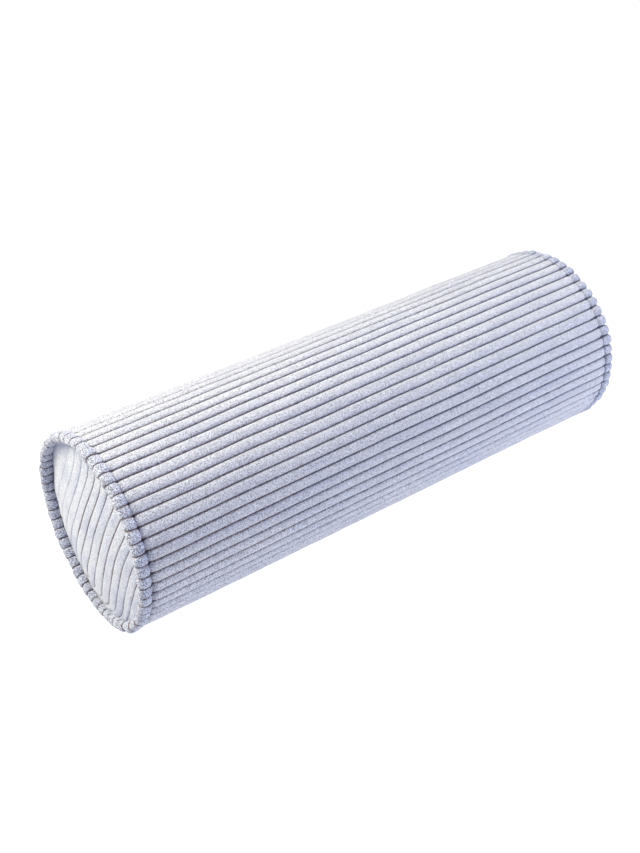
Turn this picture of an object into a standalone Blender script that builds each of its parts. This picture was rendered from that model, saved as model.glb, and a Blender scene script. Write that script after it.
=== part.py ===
"""Wide-wale corduroy bolster cushion, 60 cm long and 20 cm across, lying on its side.

The body is a firmly filled tube of corduroy whose wales run lengthwise. Each end is closed
by a round panel of the same cloth. Around each end runs a piping: a cord wrapped in a strip
of the corduroy cut across its wales, which makes a ring of beads, one for each wale.

Frame: +X along the bolster, +Z up, origin on the surface below the middle. The underside is
pressed flat where the cushion rests. An outset is measured along X, outward from a seam.
"""

import math

import bmesh
import bpy
from mathutils import Vector

# Driving dimensions, in metres and radians
LENGTH = 0.600              # over the two pipings
BODY_RADIUS = 0.0985        # to the crowns of the wales
PIPING_RADIUS = 0.0995      # to the crowns of the beads
AXIS_HEIGHT = 0.0970        # of the centre line, less than the radii: the underside is flat
WALES = 55                  # around the body, and beads around each piping
PIPING_WIDTH = 0.0118       # along X, from the body's seam to the front of the beads
PIPING_UNDER = 0.0026       # how much narrower it is pressed near the surface
UNDER_PLACE = math.radians(25.0)    # the middle of that, from straight below towards +Y
PIPING_DEPTH = 0.0115       # from the outer side of a bead to its inner side
CLOTH = 0.003               # thickness of an end panel, pile and all
GAP = 0.0003                # between neighbouring pieces

# Relief of the cloth
POINTS_PER_WALE = 4
GROOVE_DEPTH = 0.0030
RELIEF_RISE = 0.0080        # radius over which the wales rise from the plain end face
PANEL_GROOVE_DEPTH = 0.0014
BEAD_PINCH = 0.30           # share of a bead's half width lost between two beads
WALE_TURN = math.radians(-1.9)      # from straight below to the nearest groove, at mid length
BODY_TWIST = math.radians(-4.1)     # turn of the wales from one seam to the other

# End panels
PANEL_RADIUS = 0.0900
PANEL_WALES = 15
PANEL_ROWS = 4              # along each wale
PANEL_CROWN = 0.009         # bulge at the centre
PANEL_FULLNESS = 2.5        # power of the bulge: larger is flatter in the middle
PANEL_EDGE_OUTSET = 0.0005  # of its outer side at the rim
PANEL_TURN = math.radians(24.0)     # of its wales from upright

SEAM_X = LENGTH / 2 - PIPING_WIDTH
STEPS_AROUND = WALES * POINTS_PER_WALE
PIPING_SIDES = 7
MERGE = 0.00001

# The body's profile near an end. Columns: distance inward from the seam, radius
BODY_END = (
    (0.0200, BODY_RADIUS),
    (0.0070, BODY_RADIUS - 0.0004),
    (0.0025, BODY_RADIUS - 0.0017),
    (0.0006, BODY_RADIUS - 0.0042),
    (GAP, PANEL_RADIUS + 0.0030),
    (CLOTH - PANEL_EDGE_OUTSET + GAP, PANEL_RADIUS),
)

# Each end leans a little. Columns: side, outward slope along Y, outward slope along Z
END_LEAN = {
    "left": (-1, -0.006, -0.0155),
    "right": (1, -0.0135, -0.0095),
}


def remove_objects():
    for obj in list(bpy.data.objects):
        bpy.data.objects.remove(obj, do_unlink=True)


def corduroy(name, colour):
    material = bpy.data.materials.new(name)
    material.use_nodes = True
    shader = material.node_tree.nodes["Principled BSDF"]
    shader.inputs["Base Color"].default_value = (*colour, 1.0)
    shader.inputs["Roughness"].default_value = 0.95
    shader.inputs["Metallic"].default_value = 0.0
    material.diffuse_color = (*colour, 1.0)
    return material


def add_object(collection, name, bm, material):
    mesh = bpy.data.meshes.new(name)
    bmesh.ops.recalc_face_normals(bm, faces=bm.faces)
    if bm.calc_volume(signed=True) < 0:
        bmesh.ops.reverse_faces(bm, faces=bm.faces)
    bm.to_mesh(mesh)
    bm.free()
    mesh.shade_smooth()
    mesh.set_sharp_from_angle(angle=math.radians(50))
    mesh.materials.append(material)
    obj = bpy.data.objects.new(name, mesh)
    collection.objects.link(obj)
    return obj


def wale_height(turns):
    """Height of the pile over a groove, 0 in the groove and 1 on the crown.

    turns counts wales from a groove; a wale's section is half an ellipse.
    """
    across = 2 * (turns - math.floor(turns)) - 1
    return math.sqrt(max(0.0, 1 - across * across))


def along(radius, angle):
    """Y and Z of a point at an angle from straight below, turning towards +Y."""
    return radius * math.sin(angle), -radius * math.cos(angle)


def settle(x, y, z):
    """Lean a point with its end of the cushion, and press it onto the surface."""
    side, slope_y, slope_z = END_LEAN["left" if x < 0 else "right"]
    share = min(1.0, abs(x) / SEAM_X)
    leaned = x + side * share * (slope_y * y + slope_z * z)
    return Vector((leaned, y, max(0.0, z + AXIS_HEIGHT)))


def wale_angle(x):
    """Angle of the first groove at a place along the bolster."""
    return WALE_TURN + BODY_TWIST * max(-0.5, min(0.5, x / (2 * SEAM_X)))


def turned(profile):
    """Turn an open profile of (x, radius) around the X axis with a Screw modifier."""
    mesh = bpy.data.meshes.new("profile")
    points = [(x, 0.0, -radius) for x, radius in profile]
    mesh.from_pydata(points, [(i, i + 1) for i in range(len(points) - 1)], [])
    guide = bpy.data.objects.new("profile", mesh)
    bpy.context.scene.collection.objects.link(guide)
    screw = guide.modifiers.new("Turn", "SCREW")
    screw.axis = "X"
    screw.steps = STEPS_AROUND
    screw.render_steps = STEPS_AROUND
    screw.use_merge_vertices = True
    screw.merge_threshold = MERGE
    graph = bpy.context.evaluated_depsgraph_get()
    solid = bpy.data.meshes.new_from_object(guide.evaluated_get(graph))
    bm = bmesh.new()
    bm.from_mesh(solid)
    bmesh.ops.remove_doubles(bm, verts=bm.verts, dist=MERGE)
    bpy.data.objects.remove(guide, do_unlink=True)
    return bm


def build_body(collection, material):
    crown_x = SEAM_X + PANEL_EDGE_OUTSET + PANEL_CROWN - CLOTH - GAP
    left = [(-crown_x, 0.0)] + [(-(SEAM_X - inward), radius) for inward, radius in reversed(BODY_END)]
    right = [(-x, radius) for x, radius in reversed(left)]
    bm = turned(left + [(0.0, BODY_RADIUS)] + right)
    for vert in bm.verts:
        x, y, z = vert.co
        radius = math.hypot(y, z)
        angle = math.atan2(y, -z)
        relief = max(0.0, min(1.0, (radius - PANEL_RADIUS) / RELIEF_RISE))
        height = wale_height(angle * WALES / math.tau)
        radius -= GROOVE_DEPTH * relief * (1 - height)
        y, z = along(radius, angle + wale_angle(x))
        vert.co = settle(x, y, z)
    return add_object(collection, "bolster_body", bm, material)


def build_piping(collection, material, side_name):
    """A ring of beads; what a bead is pinched by is lost from all but its back, at the seam."""
    side = END_LEAN[side_name][0]
    middle = PIPING_RADIUS - PIPING_DEPTH / 2
    half_depth = PIPING_DEPTH / 2
    back_x = side * (SEAM_X + GAP / 2)
    bpy.ops.mesh.primitive_torus_add(
        major_segments=STEPS_AROUND,
        minor_segments=PIPING_SIDES,
        major_radius=middle,
        minor_radius=half_depth,
    )
    torus = bpy.context.object
    bm = bmesh.new()
    bm.from_mesh(torus.data)
    bpy.data.objects.remove(torus, do_unlink=True)
    for vert in bm.verts:
        ring_radius = math.hypot(vert.co.x, vert.co.y)
        angle = math.atan2(vert.co.x, -vert.co.y)
        height = wale_height(angle * WALES / math.tau)
        bead = 1 - BEAD_PINCH * (1 - height)
        radius = middle + (ring_radius - middle) * bead
        width = PIPING_WIDTH - PIPING_UNDER * max(0.0, math.cos(angle - UNDER_PLACE))
        half_width = width / 2 - GAP / 4
        x = back_x + side * half_width * bead * (1 + vert.co.z / half_depth)
        y, z = along(radius, angle + wale_angle(back_x))
        vert.co = settle(x, y, z)
    return add_object(collection, "piping_" + side_name, bm, material)


def build_end_panel(collection, material, side_name):
    """A round sheet: straight rows of points along its wales, each as long as its chord."""
    side = END_LEAN[side_name][0]
    bm = bmesh.new()
    columns = PANEL_WALES * POINTS_PER_WALE
    bmesh.ops.create_grid(bm, x_segments=columns, y_segments=PANEL_ROWS, size=1.0)
    sheet = bmesh.ops.extrude_face_region(bm, geom=bm.faces[:])
    outer = {item for item in sheet["geom"] if isinstance(item, bmesh.types.BMVert)}
    reach = math.cos(math.pi / columns)
    for vert in bm.verts:
        across = vert.co.x * reach
        upright = vert.co.y * math.sqrt(1 - across * across)
        bulge = PANEL_CROWN * (1 - math.hypot(across, upright) ** PANEL_FULLNESS)
        outset = PANEL_EDGE_OUTSET + bulge
        if vert in outer:
            height = wale_height((vert.co.x + 1) * PANEL_WALES / 2)
            outset -= PANEL_GROOVE_DEPTH * (1 - height)
        else:
            outset -= CLOTH
        y = PANEL_RADIUS * (across * math.cos(PANEL_TURN) - upright * math.sin(PANEL_TURN))
        z = PANEL_RADIUS * (across * math.sin(PANEL_TURN) + upright * math.cos(PANEL_TURN))
        vert.co = settle(side * (SEAM_X + outset), y, z)
    return add_object(collection, "end_panel_" + side_name, bm, material)


def main():
    remove_objects()
    collection = bpy.data.collections.new("bolster_cushion")
    bpy.context.scene.collection.children.link(collection)
    build_body(collection, corduroy("corduroy_body", (0.60, 0.63, 0.74)))
    for side_name in END_LEAN:
        piping = corduroy("corduroy_piping_" + side_name, (0.52, 0.55, 0.66))
        panel = corduroy("corduroy_panel_" + side_name, (0.66, 0.68, 0.78))
        build_piping(collection, piping, side_name)
        build_end_panel(collection, panel, side_name)


main()
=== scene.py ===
"""Looks of the wide-wale corduroy bolster: its piled cloth, beaded pipings and end panels.

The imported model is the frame. Each solid is replaced by a finer surface of the same form.
An angle around the bolster is measured from straight below, turning towards +Y, and an
outset along X, outward from a seam. Sizes are in metres, angles in radians.
"""
import math

import bpy
import numpy as np
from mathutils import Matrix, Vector, noise


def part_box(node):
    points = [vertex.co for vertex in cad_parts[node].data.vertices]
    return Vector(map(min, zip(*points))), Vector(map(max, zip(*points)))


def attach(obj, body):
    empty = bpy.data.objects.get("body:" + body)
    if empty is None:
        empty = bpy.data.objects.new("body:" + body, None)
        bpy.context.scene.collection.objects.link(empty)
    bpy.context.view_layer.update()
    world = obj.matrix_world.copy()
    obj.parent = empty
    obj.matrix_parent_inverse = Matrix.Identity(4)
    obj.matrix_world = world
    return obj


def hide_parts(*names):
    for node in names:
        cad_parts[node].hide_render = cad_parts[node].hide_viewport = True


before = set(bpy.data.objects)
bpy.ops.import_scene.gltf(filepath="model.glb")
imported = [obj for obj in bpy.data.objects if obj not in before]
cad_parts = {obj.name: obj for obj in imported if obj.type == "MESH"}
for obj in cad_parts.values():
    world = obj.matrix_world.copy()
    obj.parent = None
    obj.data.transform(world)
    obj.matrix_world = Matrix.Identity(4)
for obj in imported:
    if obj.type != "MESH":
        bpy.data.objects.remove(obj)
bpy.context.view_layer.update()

# Sizes of the solids, read from the frame
BODY_LOW, BODY_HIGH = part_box("bolster_body")
PIPING_LOW, PIPING_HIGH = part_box("piping_left")
BODY_RADIUS = (BODY_HIGH[1] - BODY_LOW[1]) / 2
PIPING_RADIUS = (PIPING_HIGH[1] - PIPING_LOW[1]) / 2
AXIS_HEIGHT = PIPING_HIGH[2] - PIPING_RADIUS

# Sizes that the boxes don't tell
SEAM_X = 0.2882
RIGHT_PULL = 0.0014         # how far the right seam is drawn in from there
WALES = 55                  # around the body, and beads around each piping
WALE_TURN = math.radians(-1.85)     # from straight below to the nearest groove, at mid length
BODY_TWIST = math.radians(-4.1)     # turn of the wales from one seam to the other
WALE_EASE = math.radians(1.1)       # how far they crowd towards the back of the bolster
EASE_PLACE = 37                     # the wale around which they are widest
CLOTH = 0.003               # thickness of an end panel, pile and all
GAP = 0.0003                # between neighbouring pieces
END_LEAN = {                # columns: side, outward slope along Y, outward slope along Z
    "left": (-1, -0.006, -0.0155),
    "right": (1, -0.0135, -0.0095),
}
SEED = 7

# A wale's section is a superellipse. Its steps crowd at the steep flanks
WALE_STEPS = 12
WALE_POWER = 2.7
WALE_DEPTH = 0.0046
BODY_ROWS = 97              # of points along the body, between the tips of its wales
BODY_INSET = 0.0001         # of the crowns from the solid's, so that the swell stays near it
WALE_SWAY = ((0.09, 0.07), (0.03, 0.03))        # noise: sizes, and strengths in wales
WALE_SWELL = ((0.10, 0.0005), (0.02, 0.0003))   # noise: sizes and strengths
BODY_CLOSE = ((GAP, 0.0930), (0.0060, 0.0900))  # rings behind a panel: inward, and radius

# Towards a seam a wale bends down, and it ends rounded off like a finger
WALE_TIP = 0.0085           # length of that
TIP_ROWS = 12
TIP_CROWD = 1.4             # power by which the rows crowd towards the seam
TIP_BEND = 1.8              # power of the bend
TIP_DROP = 0.0020           # of the crown
TIP_PIT = 0.0012            # of the grooves beside it, besides
LEFT_ROUND = 0.38           # how far the end is rounded off, where the seam shows
RIGHT_ROUND = 0.28
ROUND_POWER = 5             # larger begins nearer to the seam
ROUND_SHADE = 0.65          # painted shade: how much lower the pile value, and so darker the colour, is set there
TOP_SHARE = 0.10            # how much of the bend and of its painted shade shows at the top, where the pile hides the seam
RIGHT_SHARE = 0.3           # and at the right end
SHARE_START = 0.1           # where this begins below the top, as a share of the radius
SHARE_POWER = 1.5
SEAM_SHADE_TINT = (0.36, 0.39, 0.50)     # painted shade: the tint of the cloth where a seam would shade it
SEAM_SHADE_CROWN = 0.75         # how much less painted seam shade there is on a crown than in a groove

# Beads are pressed flat and close together at the left end and stand out at the right
BEAD_STEPS = 40             # around a bead's section
BEAD_POWER = {"left": 2.8, "right": 2.2}
BEAD_INSET = {"left": 0.0020, "right": 0.0044}  # of the grooves between two beads
BEAD_FRONT = 2.1            # powers of its section, seen along the ring
BEAD_BACK = {"left": 4.0, "right": 8.0}
BEAD_PRESS = 1.3            # added to the former in a groove, where two beads press together
BEAD_SQUARE = 6.0           # added to the latter where the seam doesn't show
BEAD_PART = 0.0006          # how much further they stand apart where it shows
BEAD_PIT = 0.0022           # how much deeper the grooves are at the seam
BEAD_ROUND_POWER = 4
BEAD_WIDTH = 0.0114         # along X
BEAD_UNDER = 0.0034         # how much narrower they are pressed near the floor
UNDER_PLACE = math.radians(25.0)    # the middle of that
UNDER_SHADE = 0.27           # painted shade: how much darker they are coloured there, near the floor
BEAD_FLARE = 0.0008         # how much wider they are at the front, and narrower at the back
BEAD_DEPTH = 0.0105         # from the outer side of a bead to its inner side
BEAD_TUCK = 0.0006          # how far the inner side is tucked in behind the panel's rim
BEAD_FULL = 0.0003          # how unevenly they are filled
BEAD_PUSH = 0.0004          # how unevenly they stand out along X
BEAD_SKEW = 0.04            # how unevenly the strip is turned, in wales
BEAD_SEAM_SHADE = (0.7, 0.4)    # painted seam shade on the beads: its strength in a groove, and how much less on a crown
BEAD_SEAM_SHADE_POWER = 6

# An end panel. Its wales lie straight across it before the filling draws them out of line
PANEL_RADIUS = 0.0900
PANEL_REACH = math.cos(math.pi / 56)    # of the outermost wales, as a share of that
PANEL_WALES = 15
PANEL_ROWS = 61             # points along a wale
PANEL_TURN = math.radians(22.6)     # of its wales from upright
PANEL_EASE = 0.268          # how far they crowd towards the front
PANEL_DRAW = 0.027          # how much further those halfway to the rim do
PANEL_BOW = (-0.075, 0.104, -0.150)     # how far they bend, by powers of the place along them
PANEL_FAN = -0.160          # how much closer together they are at the top
PANEL_HOOK = 0.27           # how far the lower rim is drawn round towards the back
HOOK_START = 0.77           # the share of the radius where this begins
PANEL_CROWN = 0.0100        # bulge at the centre
PANEL_FULLNESS = 2.2        # power of the bulge: larger is flatter in the middle
PANEL_EDGE_OUTSET = -0.0025     # of its outer side at the rim
PANEL_TILT = 0.0110         # how much further out it is sewn at the front than at the back
TILT_WAY = (-0.98, 0.2)     # the direction of this, along Y and Z
PANEL_LIFT = 0.0042         # how much further out it is sewn near the top
LIFT_PLACE = math.radians(178)      # the middle of this
PANEL_DEPTH = 0.0017        # of its grooves
PANEL_POWER = 3.6           # of a wale's section
PANEL_WAVER = (0.6, 0.005)      # noise: size and strength, in radii, of the wales' bend
PANEL_SWELL = (0.5, 0.0008)     # noise: size in radii, and strength, of the bulge
PANEL_PUCKER = (0.11, 0.0010)   # the same, but only near the rim
PUCKER_START = 0.8          # the share of the radius where this begins

# The pile of an end panel is brushed over its grooves, more so towards the back
GROOVE_SHARE = 1.04         # of their depth that shows at the front
FADE_START = 0.15           # the place, in radii, from where it is lost
FADE_REACH = 0.5            # and over what length
GROOVE_FADE = 1.4           # how quickly
GROOVE_WAVER = (0.30, 0.15)     # noise: size in radii, and strength
GROOVE_RANGE = (0.15, 1.1)      # least and most that shows

# The pile in the materials. Columns: scale, detail and roughness of its noise
TUFTS = (880.0, 1.0, 0.6)
FIBRES = (900.0, 1.0, 0.6)
NAP = (60.0, 2.0, 0.5)
TUFT_STRETCH = (1.2, 1.0, 1.0)
FAR_GRAIN = 0.8             # how much of the grain shows at the right end
BLACK, WHITE = (0.0, 0.0, 0.0), (1.0, 1.0, 1.0)
SHEEN = (0.95, 0.96, 1.0)
# Colours in the grooves: the cloth's darker ground weave, deepened with painted shade
WARM, COOL, PALE = (0.215, 0.165, 0.20), (0.15, 0.16, 0.25), (0.26, 0.21, 0.25)

# The studio
FLOOR_REACH = 6.0
FLOOR_GREY = (0.3, 0.3, 0.3)
FLOOR_GLOW = 0.88
WORLD_GLOW = 0.18
LIGHT_TARGET = (0, 0, 0.1)
LIGHTS = (                  # columns: name, place, size, power, colour
    ("key", (-1.0, 0.5, 1.5), 1.0, 54, (1.0, 0.93, 0.65)),
    ("high", (-0.6, 0.2, 2.2), 1.2, 7, (0.10, 0.12, 1.0)),
    ("back", (0.6, 2.2, 1.6), 1.6, 33, (1.0, 0.95, 1.0)),
    ("right", (1.5, -1.7, 0.35), 0.8, 15, (0.75, 0.72, 1.0)),
    ("far", (1.3, -0.9, 0.7), 0.6, 16.5, (0.95, 1.0, 0.98)),
)
CAMERA_PLACE = (-0.7071, -0.8907, 0.8867)
CAMERA_AZIMUTH = math.radians(-37.286)
CAMERA_ELEVATION = math.radians(34.926)
LENS, SENSOR_WIDTH = 56.45, 36.0        # in millimetres


# ---------------------------------------------------------------- meshes


def store(mesh, name, values):
    attribute = mesh.attributes.new(name, "FLOAT", "POINT")
    attribute.data.foreach_set("value", np.clip(values, 0, 1).astype(np.float32))


def cloth_mesh(name, vertices, faces, pile, seam_shade):
    """A mesh with two attributes of its points for the material.

    pile is 0 in a groove and 1 on a crown; the other attribute is 1 where the cloth takes painted
    shade at a seam or near the floor.
    """
    mesh = bpy.data.meshes.new(name)
    mesh.from_pydata(vertices.tolist(), [], faces)
    store(mesh, "pile", pile)
    store(mesh, "seam_shade", seam_shade)
    mesh.validate()
    return mesh


def grid_mesh(name, points, pile, seam_shade, wrap_rows=False, caps=False):
    """A closed surface from rows of points; columns wrap around. caps adds two end points."""
    rows, columns = points.shape[:2]
    vertices = points.reshape(-1, 3)
    pile, seam_shade = pile.reshape(-1), seam_shade.reshape(-1)
    row = np.arange(rows if wrap_rows else rows - 1)[:, None]
    column = np.arange(columns)[None, :]
    after_row = (row + 1) % rows
    after_column = (column + 1) % columns
    quads = np.stack(
        [
            row * columns + column,
            row * columns + after_column,
            after_row * columns + after_column,
            after_row * columns + column,
        ],
        axis=-1,
    ).reshape(-1, 4)
    faces = quads.tolist()
    if caps:
        first = points[0].mean(axis=0)
        last = points[-1].mean(axis=0)
        vertices = np.vstack([vertices, first, last])
        pile, seam_shade = np.append(pile, [0.0, 0.0]), np.append(seam_shade, [0.0, 0.0])
        count = rows * columns
        edge = (rows - 1) * columns
        for i in range(columns):
            after = (i + 1) % columns
            faces.append([count, after, i])
            faces.append([count + 1, edge + i, edge + after])
    return cloth_mesh(name, vertices, faces, pile, seam_shade)


def sheet_mesh(name, outer, inner, pile):
    """A closed sheet from two matching grids of points, joined around their rim."""
    rows, columns = outer.shape[:2]
    count = rows * columns
    vertices = np.vstack([outer.reshape(-1, 3), inner.reshape(-1, 3)])
    faces = []
    for i in range(rows - 1):
        for j in range(columns - 1):
            a, b = i * columns + j, i * columns + j + 1
            c, d = b + columns, a + columns
            faces.append([a, b, c, d])
            faces.append([count + a, count + d, count + c, count + b])
    rim = [(0, j) for j in range(columns)]
    rim += [(i, columns - 1) for i in range(1, rows)]
    rim += [(rows - 1, j) for j in range(columns - 2, -1, -1)]
    rim += [(i, 0) for i in range(rows - 2, 0, -1)]
    for k, (i, j) in enumerate(rim):
        m, n = rim[(k + 1) % len(rim)]
        a, b = i * columns + j, m * columns + n
        faces.append([b, a, count + a, count + b])
    pile = np.concatenate([pile.reshape(-1), np.zeros(count)])
    return cloth_mesh(name, vertices, faces, pile, np.zeros(2 * count))


def close_outward(mesh):
    """Turns the faces outward by the sign of the volume that they enclose."""
    co = np.empty(len(mesh.vertices) * 3)
    mesh.vertices.foreach_get("co", co)
    co = co.reshape(-1, 3)
    mesh.calc_loop_triangles()
    tri = np.empty(len(mesh.loop_triangles) * 3, dtype=int)
    mesh.loop_triangles.foreach_get("vertices", tri)
    a, b, c = co[tri.reshape(-1, 3)].transpose(1, 0, 2)
    if np.einsum("ij,ij->", a, np.cross(b, c)) < 0:
        mesh.flip_normals()


def add_piece(name, mesh, material, replaced):
    close_outward(mesh)
    mesh.shade_smooth()
    mesh.materials.append(material)
    piece = bpy.data.objects.new(name, mesh)
    bpy.context.scene.collection.objects.link(piece)
    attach(piece, "root")
    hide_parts(replaced)
    return piece


# ---------------------------------------------------------------- forms


def smooth_noise(points, size, seed):
    """Soft noise, about -1 to 1, at points given in metres or radii."""
    shift = Vector((seed * 17.3, seed * 5.1, seed * 11.7))
    flat = points.reshape(-1, 3)
    values = [noise.noise(Vector(p) / size + shift) for p in flat.tolist()]
    return np.array(values).reshape(points.shape[:-1])


def layered_noise(points, layers, seed):
    """The sum of soft noises, each given by its size and strength."""
    return sum(
        smooth_noise(points, size, seed + i) * strength
        for i, (size, strength) in enumerate(layers)
    )


def around(radius, angle):
    """Y and Z of points at an angle around the bolster."""
    return radius * np.sin(angle), -radius * np.cos(angle)


def settle(x, y, z):
    """Leans points with their end of the cushion and presses them onto the surface."""
    side = np.where(x < 0, -1.0, 1.0)
    slope_y = np.where(x < 0, END_LEAN["left"][1], END_LEAN["right"][1])
    slope_z = np.where(x < 0, END_LEAN["left"][2], END_LEAN["right"][2])
    share = np.minimum(1.0, np.abs(x) / SEAM_X)
    leaned = x + side * share * (slope_y * y + slope_z * z)
    return np.stack([leaned, y, np.maximum(0.0, z + AXIS_HEIGHT)], axis=-1)


def wale_columns(count=WALES):
    """Places across a number of wales, in wales counted from the first groove."""
    steps = (1 - np.cos(np.arange(WALE_STEPS) * math.pi / WALE_STEPS)) / 2
    return (np.arange(count)[:, None] + steps[None, :]).reshape(-1)


def wale_angle(x, turn):
    """How far a place in a wale is turned from its even place around the bolster."""
    twist = BODY_TWIST * np.clip(x / (2 * SEAM_X), -0.5, 0.5)
    return WALE_TURN + twist + WALE_EASE * np.sin(math.tau * (turn - EASE_PLACE) / WALES)


def wale_height(turn, power, cut=0.0):
    """0 in a groove, 1 on a crown; cut rounds the end of a wale or bead off."""
    side = np.abs(2 * (turn - np.floor(turn)) - 1)
    return np.clip(1 - side ** power - cut, 0, 1) ** (1 / power)


def pile_share(turn):
    """0 at a groove, 1 in the middle of a wale, evenly between."""
    return 1 - np.abs(2 * (turn - np.floor(turn)) - 1)


def squared(value, power):
    """A sine or cosine for a superellipse of this power."""
    return np.sign(value) * np.abs(value) ** (2 / power)


def panel_edge(y, z):
    """Outset of an end panel's rim in a direction from its centre."""
    tilt = PANEL_TILT * (0.5 + 0.5 * (TILT_WAY[1] * z + TILT_WAY[0] * y))
    toward_lift = np.clip(y * math.sin(LIFT_PLACE) - z * math.cos(LIFT_PLACE), 0, 1)
    return PANEL_EDGE_OUTSET + tilt + PANEL_LIFT * toward_lift ** 3 * np.hypot(y, z) ** 4


def seam_share(angle):
    """How much of a seam shows at an angle around the bolster, in its shape and in its painted
    shade.
    """
    below_top = np.clip(-np.sin(angle) - SHARE_START, 0, 1)
    return TOP_SHARE + (1 - TOP_SHARE) * below_top ** SHARE_POWER


def rounding(side, angle):
    """How far wales and beads are rounded off at a seam; side is below 0 at the left end."""
    return np.where(side < 0, LEFT_ROUND * seam_share(angle) ** 0.5, RIGHT_ROUND)


# ---------------------------------------------------------------- pieces


def build_body(material):
    turns = wale_columns()
    crowd = np.linspace(1, 0, TIP_ROWS + 1)[1:] ** TIP_CROWD
    tip = SEAM_X - GAP - (WALE_TIP - GAP) * crowd
    middle = np.linspace(-(SEAM_X - WALE_TIP), SEAM_X - WALE_TIP, BODY_ROWS)
    rows = np.concatenate([-tip[::-1], middle, tip])
    x, turn = np.meshgrid(rows, turns, indexing="ij")
    toward_tip = np.clip((np.abs(x) - (SEAM_X - WALE_TIP)) / (WALE_TIP - GAP), 0, 1)
    fade = 1 - toward_tip
    angle = turn * math.tau / WALES
    spots = np.stack([x, *around(BODY_RADIUS, angle)], axis=-1)
    sway = layered_noise(spots, WALE_SWAY, SEED)
    swell = layered_noise(spots, WALE_SWELL, SEED + 2)
    angle = angle + wale_angle(x, turn) + sway * fade * math.tau / WALES
    bend = toward_tip ** TIP_BEND * seam_share(angle) * np.where(x < 0, 1, RIGHT_SHARE)
    depth = WALE_DEPTH + (TIP_PIT - TIP_DROP) * bend
    drop = TIP_DROP * bend
    cut = rounding(x, angle) * toward_tip ** ROUND_POWER
    height = wale_height(turn, WALE_POWER, cut)
    radius = BODY_RADIUS - BODY_INSET - drop - depth * (1 - height) + swell * height * fade
    x = x - RIGHT_PULL * np.clip(x / SEAM_X, 0, 1) ** 3
    points = settle(x, *around(radius, angle))
    ends = []
    for sign in (-1, 1):
        for inward, ring in BODY_CLOSE:
            place = sign * (SEAM_X - inward) - (RIGHT_PULL if sign > 0 else 0)
            end_angle = turns * math.tau / WALES + wale_angle(place, turns)
            ends.append(settle(np.full_like(turns, place), *around(ring, end_angle)))
    points = np.concatenate([[ends[1], ends[0]], points, [ends[2], ends[3]]])
    flat = np.zeros((2, len(turns)))
    # Painted shade: a lower pile value, so a darker colour, where a wale's end is rounded off
    pile = np.concatenate([flat, pile_share(turn) - ROUND_SHADE * cut, flat])
    # Painted shade at the seams, and all over the hidden rings behind the panels
    shade_share = 1 - SEAM_SHADE_CROWN * pile_share(turn)
    seam_shade = np.concatenate([flat + 1, bend * shade_share, flat + 1])
    mesh = grid_mesh("bolster_cloth", points, pile, seam_shade, caps=True)
    return add_piece("bolster_cloth", mesh, material, "bolster_body")


def build_piping(name, material):
    side = END_LEAN[name][0]
    pull = RIGHT_PULL if name == "right" else 0.0
    random = np.random.default_rng(SEED + 20 + side)
    turns = wale_columns()
    bead = np.floor(turns).astype(int)
    full = random.normal(0, BEAD_FULL, WALES)[bead]
    push = random.normal(0, BEAD_PUSH, WALES)[bead]
    skew = random.normal(0, BEAD_SKEW, WALES + 1)
    skew[-1] = skew[0]
    skew = np.interp(turns, np.arange(WALES + 1), skew)
    section = np.arange(BEAD_STEPS) * math.tau / BEAD_STEPS
    t, turn = np.meshgrid(section, turns, indexing="ij")
    angle = turn * math.tau / WALES
    under = np.clip(np.cos(angle - UNDER_PLACE), 0, 1)
    height = wale_height(turn, BEAD_POWER[name])
    # A bead's section: axial runs from -1 at the seam to 1 at its front, radial outward
    front = np.cos(t) > 0
    back_power = BEAD_BACK[name] + BEAD_SQUARE * (1 - seam_share(angle))
    power = np.where(front, BEAD_FRONT + BEAD_PRESS * (1 - height), back_power)
    axial, radial = squared(np.cos(t), power), squared(np.sin(t), power)
    toward_seam = np.clip(-axial, 0, 1)
    groove = BEAD_INSET[name] + BEAD_PART * seam_share(angle) + BEAD_PIT * toward_seam
    cut = rounding(side, angle) * toward_seam ** BEAD_ROUND_POWER
    inset = groove * (1 - wale_height(turn, BEAD_POWER[name], cut)) - full[None, :] * height
    width = BEAD_WIDTH + pull - BEAD_UNDER * under
    half_width = (width - BEAD_FLARE * np.sin(angle)) / 2 - GAP / 4 - inset / 2
    half_depth = BEAD_DEPTH / 2 - inset
    tuck = np.clip(GAP - panel_edge(*around(1.0, angle)), 0, 1) + BEAD_TUCK
    tucked = tuck * np.clip(-radial, 0, 1) ** 2 * (1 - axial) / 2
    outset = GAP / 2 - pull + half_width * (1 + axial) - tucked + push[None, :] * height * front
    radius = PIPING_RADIUS - BEAD_DEPTH / 2 + half_depth * radial
    # Painted shade where the beads meet the body, and near the floor
    shade_share = BEAD_SEAM_SHADE[0] - BEAD_SEAM_SHADE[1] * pile_share(turn)
    seam_shade = toward_seam ** BEAD_SEAM_SHADE_POWER * seam_share(angle) * shade_share
    seam_shade *= 1 if name == "left" else RIGHT_SHARE
    seam_shade = np.maximum(seam_shade, UNDER_SHADE * under ** 2)
    lean = skew[None, :] * (axial + 1) / 2
    angle = angle + lean * math.tau / WALES + wale_angle(side * SEAM_X, turn)
    points = settle(side * (SEAM_X + outset), *around(radius, angle))
    # Painted shade: a lower pile value, so a darker colour, where a bead's end is rounded off
    pile = pile_share(turn) - ROUND_SHADE * cut
    mesh = grid_mesh("piping_cloth_" + name, points, pile, seam_shade, wrap_rows=True)
    return add_piece("piping_cloth_" + name, mesh, material, "piping_" + name)


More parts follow.
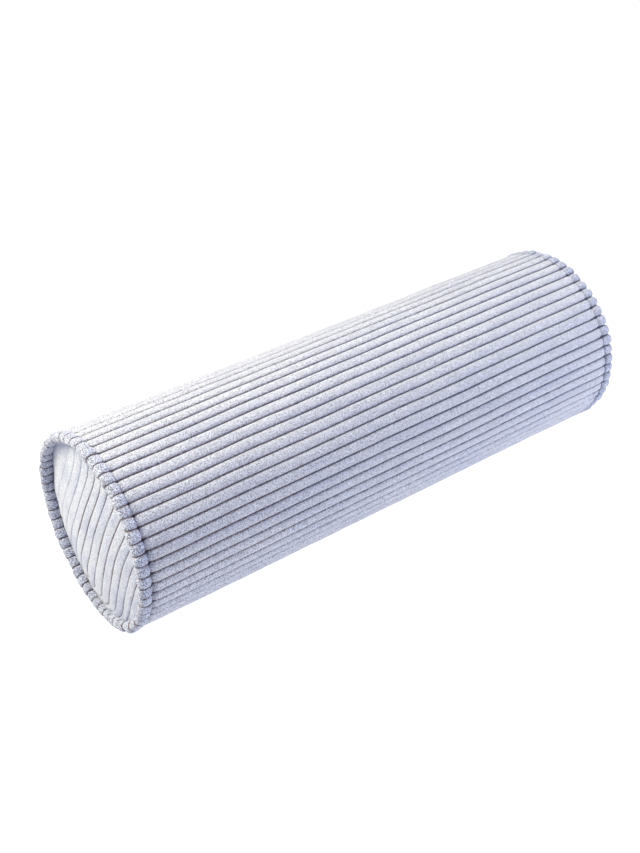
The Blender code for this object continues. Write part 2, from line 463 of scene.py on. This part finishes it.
def build_end_panel(name, material):
    side = END_LEAN[name][0]
    steps = np.append(wale_columns(PANEL_WALES), PANEL_WALES)
    # u runs across the wales and w along them, in radii
    share = steps / PANEL_WALES
    eased = 2 * share - 1 - PANEL_EASE * share * (1 - share)
    eased = eased - PANEL_DRAW * np.sin(math.tau * share) ** 2
    u, v = np.meshgrid(eased * PANEL_REACH, np.linspace(-1, 1, PANEL_ROWS), indexing="ij")
    w = v * np.sqrt(1 - u * u)
    turn = np.repeat(steps[:, None], PANEL_ROWS, axis=1)
    distance = np.minimum(1, np.hypot(u, w))
    spots = np.stack([np.full_like(u, side * 3.0), u * 2.0, w], axis=-1)
    # The wales bend, and near the lower rim they hook round
    bow = PANEL_BOW[0] * w + PANEL_BOW[1] * w ** 2 + PANEL_BOW[2] * w ** 3 + PANEL_FAN * u * w
    u = u + (1 - distance ** 2) * (bow + layered_noise(spots, [PANEL_WAVER], SEED + 8))
    toward_rim = np.clip((distance - HOOK_START) / (1 - HOOK_START), 0, 1)
    hook = PANEL_HOOK * toward_rim ** 2 * np.clip(-w, 0, 1)
    u, w = u * np.cos(hook) - w * np.sin(hook), w * np.cos(hook) + u * np.sin(hook)
    y = u * math.cos(PANEL_TURN) - w * math.sin(PANEL_TURN)
    z = u * math.sin(PANEL_TURN) + w * math.cos(PANEL_TURN)
    shown = GROOVE_SHARE - GROOVE_FADE * np.clip(u - FADE_START, 0, FADE_REACH)
    shown = shown + layered_noise(spots, [GROOVE_WAVER], SEED + 5)
    depth = PANEL_DEPTH * np.clip(shown, *GROOVE_RANGE)
    at_rim = np.clip((distance - PUCKER_START) / (1 - PUCKER_START), 0, 1)
    pucker = layered_noise(spots, [PANEL_PUCKER], SEED + 6) * at_rim
    swell = layered_noise(spots, [PANEL_SWELL], SEED + 7)
    bulge = panel_edge(y, z) + PANEL_CROWN * (1 - distance ** PANEL_FULLNESS) + pucker + swell
    y, z = PANEL_RADIUS * y, PANEL_RADIUS * z
    outer = settle(side * (SEAM_X + bulge - depth * (1 - wale_height(turn, PANEL_POWER))), y, z)
    inner = settle(side * (SEAM_X + bulge - CLOTH), y, z)
    pile = np.clip(1 - (1 - pile_share(turn)) * depth / PANEL_DEPTH, 0, 1)
    mesh = sheet_mesh("panel_cloth_" + name, outer, inner, pile)
    return add_piece("panel_cloth_" + name, mesh, material, "end_panel_" + name)


# ---------------------------------------------------------------- materials


def corduroy(name, crown, groove_colours, grain, spread, clouded, turn=None):
    """Piled cloth, its wales along X, or on end turned about X.

    The colours in its grooves, at the left and at the right end, are the cloth's darker ground
    weave deepened with painted shade; grain is how far its tufts darken and stand out, spread how
    wide a groove looks in half wales, and clouded how dark its brushed patches are.
    """
    material = bpy.data.materials.new(name)
    material.use_nodes = True
    nodes, links = material.node_tree.nodes, material.node_tree.links
    shader = nodes["Principled BSDF"]
    shader.inputs["Roughness"].default_value = 0.95
    shader.inputs["Specular IOR Level"].default_value = 0.1
    shader.inputs["Sheen Weight"].default_value = 0.25
    shader.inputs["Sheen Roughness"].default_value = 0.5
    shader.inputs["Sheen Tint"].default_value = (*SHEEN, 1.0)
    place = nodes.new("ShaderNodeTexCoord")
    lay = nodes.new("ShaderNodeMapping")
    lay.inputs["Rotation"].default_value = (-(turn or 0.0), 0.0, 0.0)
    links.new(place.outputs["Object"], lay.inputs["Vector"])

    def noise_node(scale, detail, roughness, stretch):
        pull = nodes.new("ShaderNodeMapping")
        pull.inputs["Scale"].default_value = stretch
        links.new(lay.outputs["Vector"], pull.inputs["Vector"])
        node = nodes.new("ShaderNodeTexNoise")
        node.inputs["Scale"].default_value = scale
        node.inputs["Detail"].default_value = detail
        node.inputs["Roughness"].default_value = roughness
        links.new(pull.outputs["Vector"], node.inputs["Vector"])
        return node.outputs["Fac"]

    def point_value(attribute_name):
        node = nodes.new("ShaderNodeAttribute")
        node.attribute_name = attribute_name
        return node.outputs["Fac"]

    def ramp(source, low, low_colour, high, high_colour):
        node = nodes.new("ShaderNodeValToRGB")
        first, second = node.color_ramp.elements
        first.position, second.position = low, high
        first.color, second.color = (*low_colour, 1.0), (*high_colour, 1.0)
        links.new(source, node.inputs["Fac"])
        return node.outputs["Color"]

    def blend(kind, share, first, second):
        """Mixes two colours; share and the second may be a socket or a value."""
        node = nodes.new("ShaderNodeMix")
        node.data_type = "RGBA"
        node.blend_type = kind
        colours = [socket for socket in node.inputs if socket.type == "RGBA"]
        for socket, source in zip((node.inputs["Factor"], *colours), (share, first, second)):
            if isinstance(source, bpy.types.NodeSocket):
                links.new(source, socket)
            else:
                socket.default_value = source
        return node.outputs["Result"]

    # Fibres and nap lie along the wales
    across = (1.0, 0.35, 0.35) if turn is None else (1.0, 0.35, 1.0)
    lengthwise = (0.22, 1.0, 1.0) if turn is None else (1.0, 1.0, 0.4)
    tufts = noise_node(*TUFTS, TUFT_STRETCH)
    fibres = noise_node(*FIBRES, across)
    nap = noise_node(*NAP, lengthwise)

    # From the left seam to the right one, 0 to 1
    split = nodes.new("ShaderNodeSeparateXYZ")
    links.new(place.outputs["Object"], split.inputs["Vector"])
    along = nodes.new("ShaderNodeMapRange")
    along.inputs["From Min"].default_value = -SEAM_X
    along.inputs["From Max"].default_value = SEAM_X
    links.new(split.outputs["X"], along.inputs["Value"])

    # The pile's fibres fray the edges of the grooves
    fray = nodes.new("ShaderNodeMath")
    fray.operation = "MULTIPLY_ADD"
    links.new(fibres, fray.inputs[0])
    fray.inputs[1].default_value = 2 * spread
    links.new(point_value("pile"), fray.inputs[2])
    raised = ramp(fray.outputs["Value"], 1.15 * spread, BLACK, 2 * spread, WHITE)
    # Groove colour: darker ground weave and painted shade, warmer at the left end and bluer at
    # the right
    groove_colour = ramp(along.outputs["Result"], 0.1, groove_colours[0], 0.6, groove_colours[1])
    cloth = blend("MIX", raised, groove_colour, (*crown, 1.0))

    # Tufts darken it in specks, brushed patches over wider places, and painted shade at the seams
    # and near the floor
    dark, light = 1.0 - grain, 1.0 + 0.35 * grain
    specks = ramp(tufts, 0.40, (dark, dark * 1.02, dark * 1.12), 0.58, (light, light, light))
    sharp = ramp(along.outputs["Result"], 0.1, WHITE, 0.9, (FAR_GRAIN, FAR_GRAIN, FAR_GRAIN))
    cloth = blend("MULTIPLY", sharp, cloth, specks)
    veil = [1.0 - clouded * share for share in (1.0, 0.9, 0.5)]
    cloth = blend("MULTIPLY", 1.0, cloth, ramp(nap, 0.36, veil, 0.52, WHITE))
    # Painted shade: the cloth is darker and bluer where a seam or the floor would shade it
    cloth = blend("MULTIPLY", 1.0, cloth, ramp(point_value("seam_shade"), 0.0, WHITE, 1.0, SEAM_SHADE_TINT))
    links.new(cloth, shader.inputs["Base Color"])
    bump = nodes.new("ShaderNodeBump")
    bump.inputs["Strength"].default_value = 0.9
    bump.inputs["Distance"].default_value = 0.0030 * grain
    links.new(tufts, bump.inputs["Height"])
    links.new(bump.outputs["Normal"], shader.inputs["Normal"])
    return material


def floor_material():
    material = bpy.data.materials.new("studio_floor")
    material.use_nodes = True
    shader = material.node_tree.nodes["Principled BSDF"]
    shader.inputs["Base Color"].default_value = (*FLOOR_GREY, 1.0)
    shader.inputs["Roughness"].default_value = 0.9
    shader.inputs["Emission Color"].default_value = (*WHITE, 1.0)
    shader.inputs["Emission Strength"].default_value = FLOOR_GLOW
    return material


# ---------------------------------------------------------------- stage


def aim(obj, place, direction):
    """Puts a camera or light in its place, facing a direction."""
    obj.location = place
    obj.rotation_mode = "QUATERNION"
    obj.rotation_quaternion = direction.to_track_quat("-Z", "Y")
    bpy.context.scene.collection.objects.link(obj)


def build_camera():
    data = bpy.data.cameras.new("camera")
    data.sensor_width = SENSOR_WIDTH
    data.lens = LENS
    data.clip_start = 0.01
    data.clip_end = 50
    camera = bpy.data.objects.new("camera", data)
    back = Vector((
        math.sin(CAMERA_AZIMUTH) * math.cos(CAMERA_ELEVATION),
        -math.cos(CAMERA_AZIMUTH) * math.cos(CAMERA_ELEVATION),
        math.sin(CAMERA_ELEVATION),
    ))
    aim(camera, CAMERA_PLACE, -back)
    bpy.context.scene.camera = camera
    bpy.context.scene.view_settings.view_transform = "Standard"


def build_stage():
    mesh = bpy.data.meshes.new("studio_floor")
    size = FLOOR_REACH
    corners = [(-size, -size, 0), (size, -size, 0), (size, size, 0), (-size, size, 0)]
    mesh.from_pydata(corners, [], [(0, 1, 2, 3)])
    mesh.materials.append(floor_material())
    floor = bpy.data.objects.new("studio_floor", mesh)
    bpy.context.scene.collection.objects.link(floor)


def build_lights():
    world = bpy.data.worlds.new("studio")
    world.use_nodes = True
    background = world.node_tree.nodes["Background"]
    background.inputs["Color"].default_value = (*WHITE, 1.0)
    background.inputs["Strength"].default_value = WORLD_GLOW
    bpy.context.scene.world = world
    for name, place, size, power, colour in LIGHTS:
        data = bpy.data.lights.new(name, "AREA")
        data.shape = "DISK"
        data.size = size
        data.energy = power
        data.color = colour
        light = bpy.data.objects.new(name, data)
        aim(light, place, Vector(LIGHT_TARGET) - Vector(place))


def main():
    build_camera()
    build_stage()
    build_lights()
    # One fabric in three materials: the crown colours of the pipings and the end panels are set
    # darker than the body's to match how brightly each piece is lit, painted shade
    cloth = corduroy(
        "corduroy_cloth", (0.56, 0.588, 0.70), (WARM, COOL),
        grain=0.48, spread=0.22, clouded=0.08,
    )
    trim = corduroy(
        "corduroy_trim", (0.53, 0.572, 0.745), (WARM, COOL),
        grain=0.66, spread=0.20, clouded=0.10,
    )
    flat = corduroy(
        "corduroy_flat", (0.495, 0.53, 0.665), (PALE, PALE),
        grain=0.32, spread=0.11, clouded=0.18, turn=PANEL_TURN,
    )
    build_body(cloth)
    for name in END_LEAN:
        build_piping(name, trim)
        build_end_panel(name, flat)


main()
